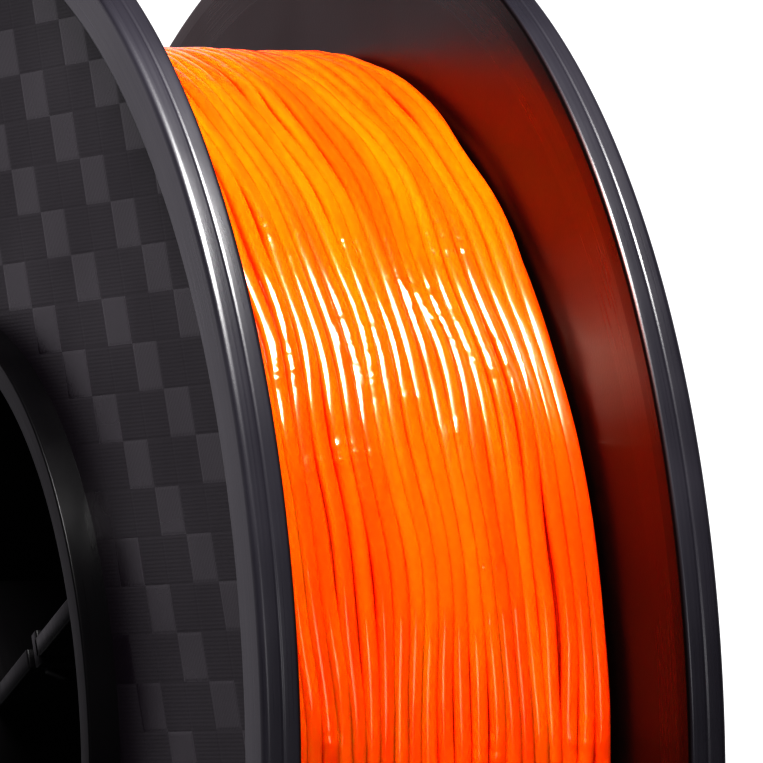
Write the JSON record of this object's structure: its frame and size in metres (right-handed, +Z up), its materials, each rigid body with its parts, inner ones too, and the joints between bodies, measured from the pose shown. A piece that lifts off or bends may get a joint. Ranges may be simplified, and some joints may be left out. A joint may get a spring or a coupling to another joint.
{
  "type": "filament spool",
  "caption": "Upright spool for printer filament: twin ribbed flanges pressed together around a hub, wound with bright orange strand.",
  "frame": {"origin": "centre of the spool's bore, midway between its two ends", "axes": "+Y along the spool's axis from the left half to the right half, +X to the front, +Z up"},
  "size_m": [0.2, 0.054, 0.2],
  "materials": {
    "black_plastic": "moulded, semi-gloss, with a twill texture in the flange recesses",
    "orange_filament": "glossy, slightly translucent"
  },
  "bodies": {
    "left_half": {"left_rim": "black_plastic", "left_flange_plate": "black_plastic", "left_drum": "black_plastic", "left_bore_tube": "black_plastic", "left_ribs": "black_plastic", "left_arm_guides": "black_plastic", "left_snap_arms": "black_plastic", "filament_inner_winding": "orange_filament", "filament_outer_winding": "orange_filament", "filament_tail": "orange_filament", "filament_inner_end": "orange_filament"},
    "right_half": {"right_rim": "black_plastic", "right_flange_plate": "black_plastic", "right_drum": "black_plastic", "right_bore_tube": "black_plastic", "right_ribs": "black_plastic", "right_arm_guides": "black_plastic", "right_snap_arms": "black_plastic"}
  },
  "joints": [
    {"name": "halves_pull_apart", "type": "slide", "parent": "left_half", "child": "right_half", "axis": [0, 1, 0], "range_m": [0, 0.055]}
  ]
}
